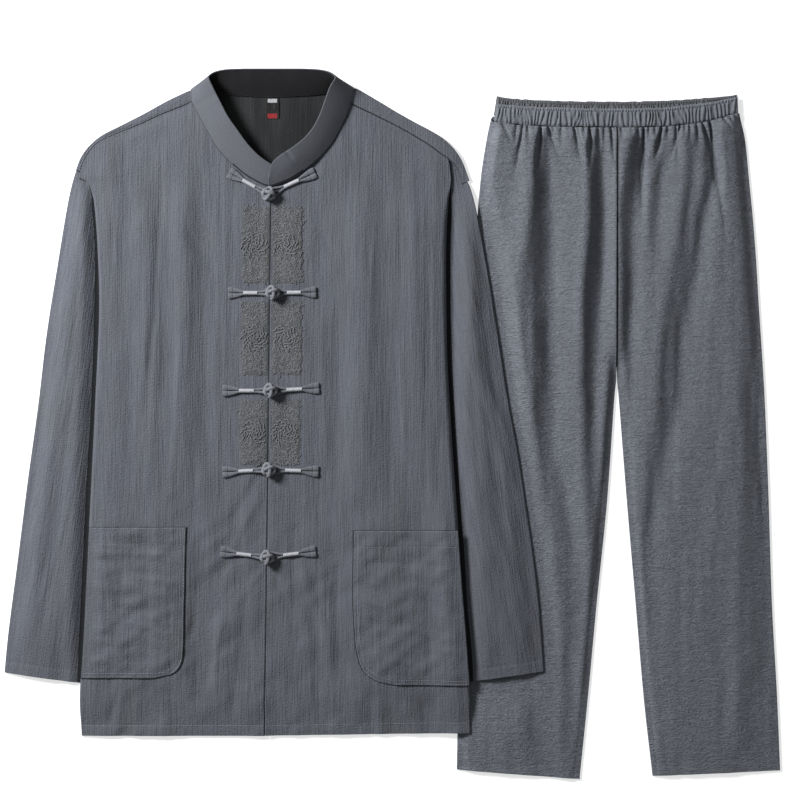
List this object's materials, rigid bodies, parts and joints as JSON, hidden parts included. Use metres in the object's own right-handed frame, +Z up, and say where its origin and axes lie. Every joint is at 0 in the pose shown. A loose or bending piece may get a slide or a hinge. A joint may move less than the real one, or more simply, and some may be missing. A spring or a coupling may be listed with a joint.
{
  "type": "tai chi uniform",
  "caption": "Grey crinkled jacket with a stand collar, knotted frog fastenings and patch pockets, laid flat over loose trousers with a gathered elastic waist.",
  "frame": {"origin": "on the surface that the set lies on, at the middle of its outline seen from above", "axes": "+X from the wearer's right sleeve of the jacket towards the trousers, +Y from the hems to the collar, +Z up from the surface"},
  "size_m": [0.9942, 0.9076, 0.0293],
  "materials": {
    "cloth": "crinkled cotton and linen, slate grey, matt",
    "frog_cloth": "bias-cut strip of the same cloth, slight sheen",
    "silver_wrap": "silver-grey thread, glossy",
    "label": "black woven satin"
  },
  "bodies": {
    "root": {"jacket_back": "cloth", "jacket_front_right": "cloth", "jacket_front_left": "cloth", "shoulder_right": "cloth", "shoulder_left": "cloth", "sleeve_right_upper": "cloth", "sleeve_right_under": "cloth", "sleeve_left_upper": "cloth", "sleeve_left_under": "cloth", "collar": "cloth", "pocket_right": "cloth", "pocket_left": "cloth", "trouser_front_right": "cloth", "trouser_front_left": "cloth", "trouser_back_right": "cloth", "trouser_back_left": "cloth", "waistband_back": "cloth", "waistband_front": "cloth", "frog_1_knot": "frog_cloth", "frog_1_loop": "frog_cloth", "frog_2_knot": "frog_cloth", "frog_2_loop": "frog_cloth", "frog_3_knot": "frog_cloth", "frog_3_loop": "frog_cloth", "frog_4_knot": "frog_cloth", "frog_4_loop": "frog_cloth", "frog_5_knot": "frog_cloth", "frog_5_loop": "frog_cloth", "frog_1_wrap_right": "silver_wrap", "frog_1_wrap_left": "silver_wrap", "frog_2_wrap_right": "silver_wrap", "frog_2_wrap_left": "silver_wrap", "frog_3_wrap_right": "silver_wrap", "frog_3_wrap_left": "silver_wrap", "frog_4_wrap_right": "silver_wrap", "frog_4_wrap_left": "silver_wrap", "frog_5_wrap_right": "silver_wrap", "frog_5_wrap_left": "silver_wrap", "neck_label": "label"}
  },
  "joints": []
}
